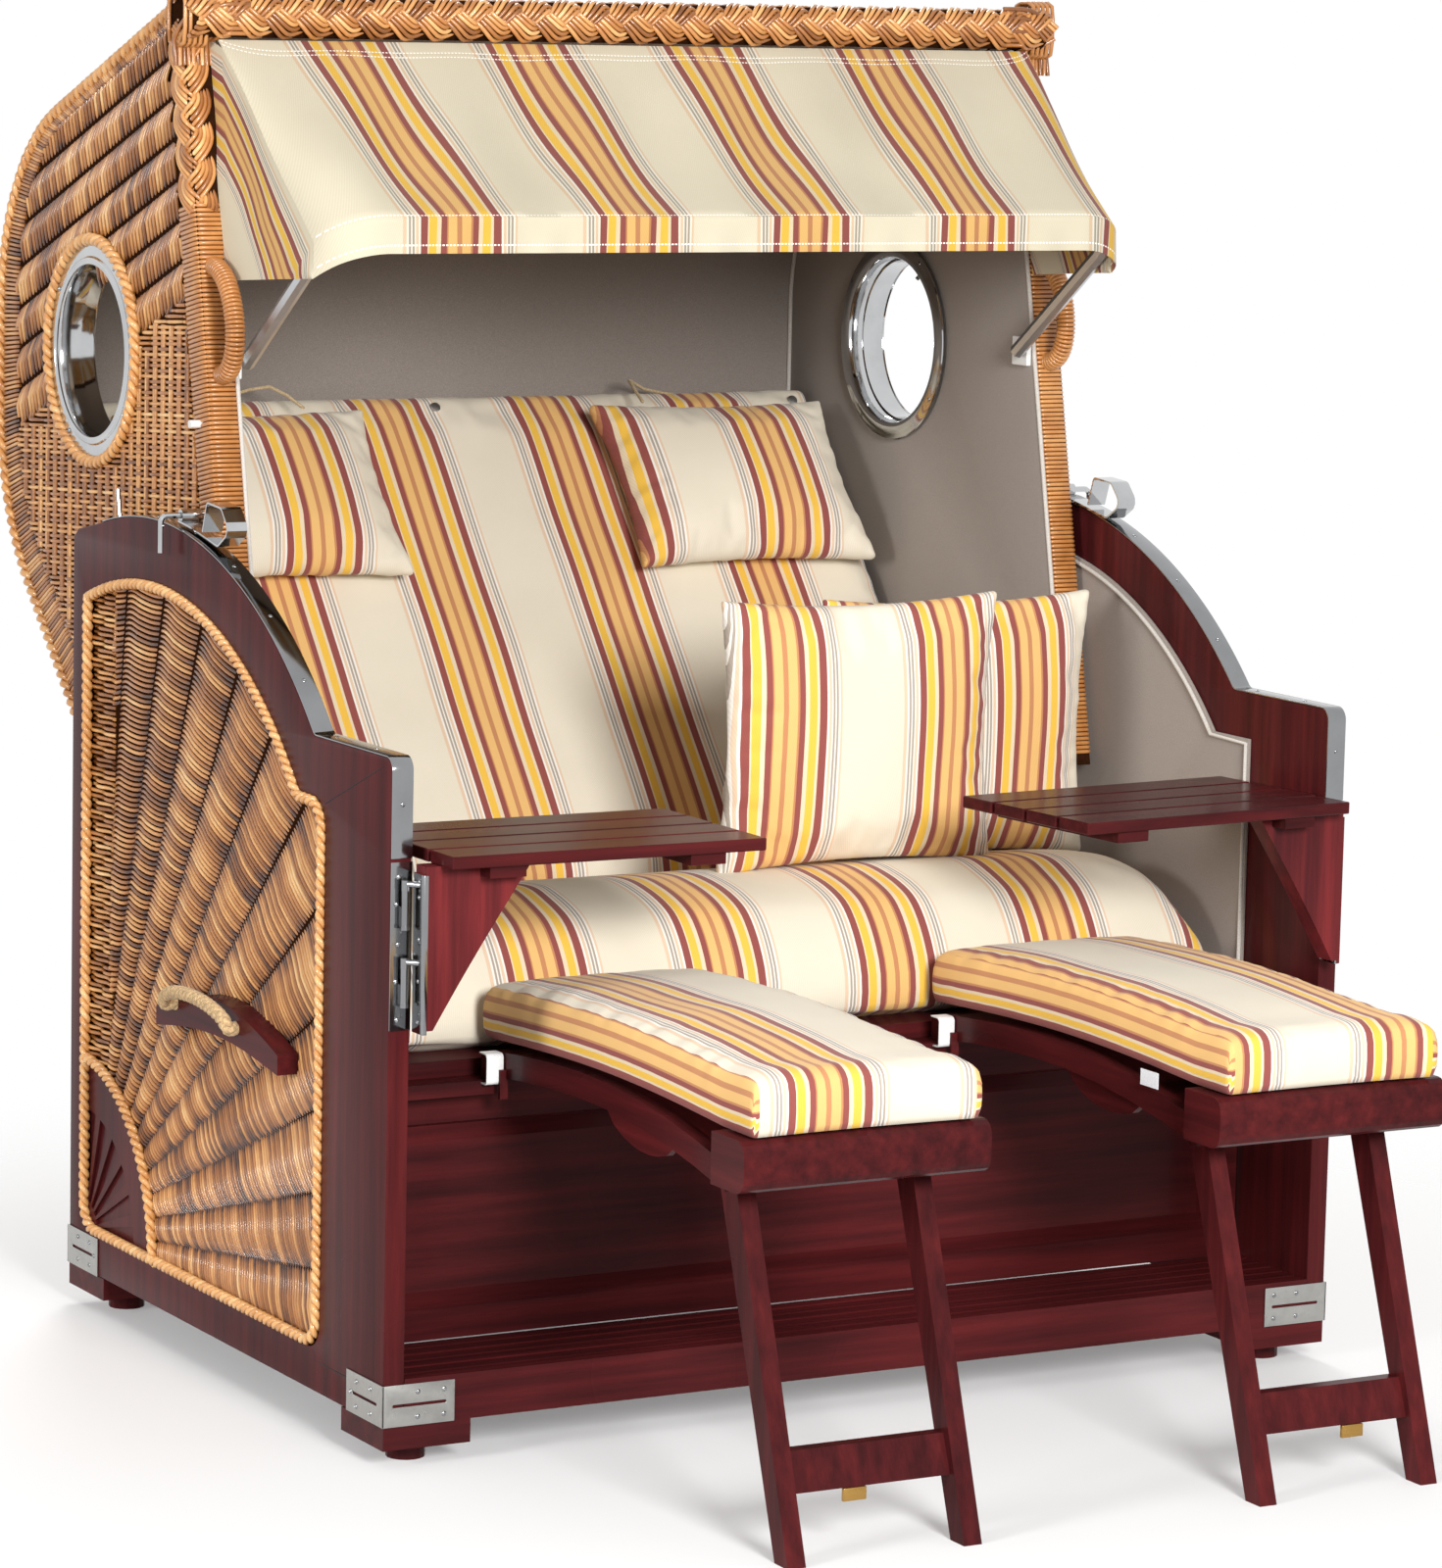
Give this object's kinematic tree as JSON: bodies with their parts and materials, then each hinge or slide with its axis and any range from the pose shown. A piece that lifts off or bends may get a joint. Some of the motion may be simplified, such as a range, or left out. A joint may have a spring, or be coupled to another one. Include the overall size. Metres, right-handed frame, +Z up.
{
  "type": "hooded beach chair",
  "caption": "Hooded beach chair with a woven reclining hood, portholes, canopy, striped cushions, lacquered timber sides, swinging side tables and folding footrests.",
  "frame": {"origin": "centre of the bounding box's bottom face, on the floor", "axes": "+Z up, -Y towards the front, where the sitters' feet point, X across the seat"},
  "size_m": [1.3472, 1.747, 1.595],
  "materials": {
    "mahogany": "dark red glossy lacquer",
    "light_mahogany": "red glossy lacquer",
    "wicker": "honey brown woven cane",
    "lining": "taupe cloth",
    "cloth": "cream cloth with maroon, yellow and orange stripes",
    "steel": "polished",
    "tube": "satin",
    "plastic": "white",
    "rope": "twisted natural rope"
  },
  "bodies": {
    "chair": {"side_frame_left": "mahogany", "side_frame_right": "mahogany", "wicker_panel_left": "wicker", "wicker_panel_right": "wicker", "carved_fan_left": "mahogany", "carved_fan_right": "mahogany", "side_lining_left": "lining", "side_lining_right": "lining", "front_step": "mahogany", "kick_panel": "mahogany", "seat_base": "mahogany", "rear_panel": "mahogany", "corner_bracket_front_left": "steel", "corner_bracket_front_right": "steel", "corner_bracket_rear_left": "steel", "corner_bracket_rear_right": "steel", "edge_strip_left": "steel", "edge_strip_right": "steel", "table_hinge_left": "steel", "table_hinge_right": "steel", "handle_block_left": "mahogany", "handle_block_right": "mahogany", "handle_rope_left": "rope", "handle_rope_right": "rope", "seat_cushion": "cloth", "throw_cushion_front": "cloth", "throw_cushion_rear": "cloth"},
    "hood": {"hood_shell": "wicker", "hood_lining": "lining", "hood_rim": "wicker", "pivot_arm_left": "steel", "pivot_arm_right": "steel", "porthole_outer_left": "steel", "porthole_outer_right": "steel", "porthole_inner_left": "steel", "porthole_inner_right": "steel", "backrest_board": "light_mahogany", "backrest_cushion": "cloth", "neck_pillow_left": "cloth", "neck_pillow_right": "cloth", "neck_cord_left": "rope", "neck_cord_right": "rope", "latch_rod_left": "steel", "latch_rod_right": "steel", "canopy_bracket_left": "plastic", "canopy_bracket_right": "plastic", "canopy_cloth": "cloth"},
    "canopy": {"canopy_frame": "tube"},
    "latch_left": {"latch_lever_left": "steel"},
    "table_left": {"table_top_left": "light_mahogany", "table_bracket_left": "light_mahogany"},
    "footrest_left": {"footrest_frame_left": "light_mahogany", "footrest_pad_left": "cloth"},
    "legs_left": {"footrest_legs_left": "light_mahogany"},
    "latch_right": {"latch_lever_right": "steel"},
    "table_right": {"table_top_right": "light_mahogany", "table_bracket_right": "light_mahogany"},
    "footrest_right": {"footrest_frame_right": "light_mahogany", "footrest_pad_right": "cloth"},
    "legs_right": {"footrest_legs_right": "light_mahogany"}
  },
  "joints": [
    {"name": "hood_recline", "type": "hinge", "parent": "chair", "child": "hood", "pos_m": [0, 0.3065, 0.362], "axis": [1, 0, 0], "range_deg": [-15, 19]},
    {"name": "canopy_fold", "type": "hinge", "parent": "hood", "child": "canopy", "pos_m": [0, 0.2515, 1.172], "axis": [-1, 0, 0], "range_deg": [0, 50], "deforming": ["canopy_cloth"]},
    {"name": "latch_left_lift", "type": "hinge", "parent": "hood", "child": "latch_left", "pos_m": [-0.602, 0.2455, 0.9965], "axis": [-1, 0, 0], "range_deg": [0, 35]},
    {"name": "table_left_swing", "type": "hinge", "parent": "chair", "child": "table_left", "pos_m": [-0.612, -0.3585, 0.689], "axis": [0, 0, 1], "range_deg": [-150, 0]},
    {"name": "footrest_left_lift", "type": "hinge", "parent": "chair", "child": "footrest_left", "pos_m": [-0.295, -0.2125, 0.4026], "axis": [-1, 0, 0], "range_deg": [0, 10]},
    {"name": "legs_left_fold", "type": "hinge", "parent": "footrest_left", "child": "legs_left", "pos_m": [-0.295, -0.7285, 0.382], "axis": [1, 0, 0], "range_deg": [0, 105]},
    {"name": "latch_right_lift", "type": "hinge", "parent": "hood", "child": "latch_right", "pos_m": [0.602, 0.2455, 0.9965], "axis": [-1, 0, 0], "range_deg": [0, 35]},
    {"name": "table_right_swing", "type": "hinge", "parent": "chair", "child": "table_right", "pos_m": [0.612, -0.3585, 0.689], "axis": [0, 0, 1], "range_deg": [-5, 145]},
    {"name": "footrest_right_lift", "type": "hinge", "parent": "chair", "child": "footrest_right", "pos_m": [0.295, -0.2125, 0.4026], "axis": [-1, 0, 0], "range_deg": [0, 10]},
    {"name": "legs_right_fold", "type": "hinge", "parent": "footrest_right", "child": "legs_right", "pos_m": [0.295, -0.7285, 0.382], "axis": [1, 0, 0], "range_deg": [0, 105]}
  ]
}
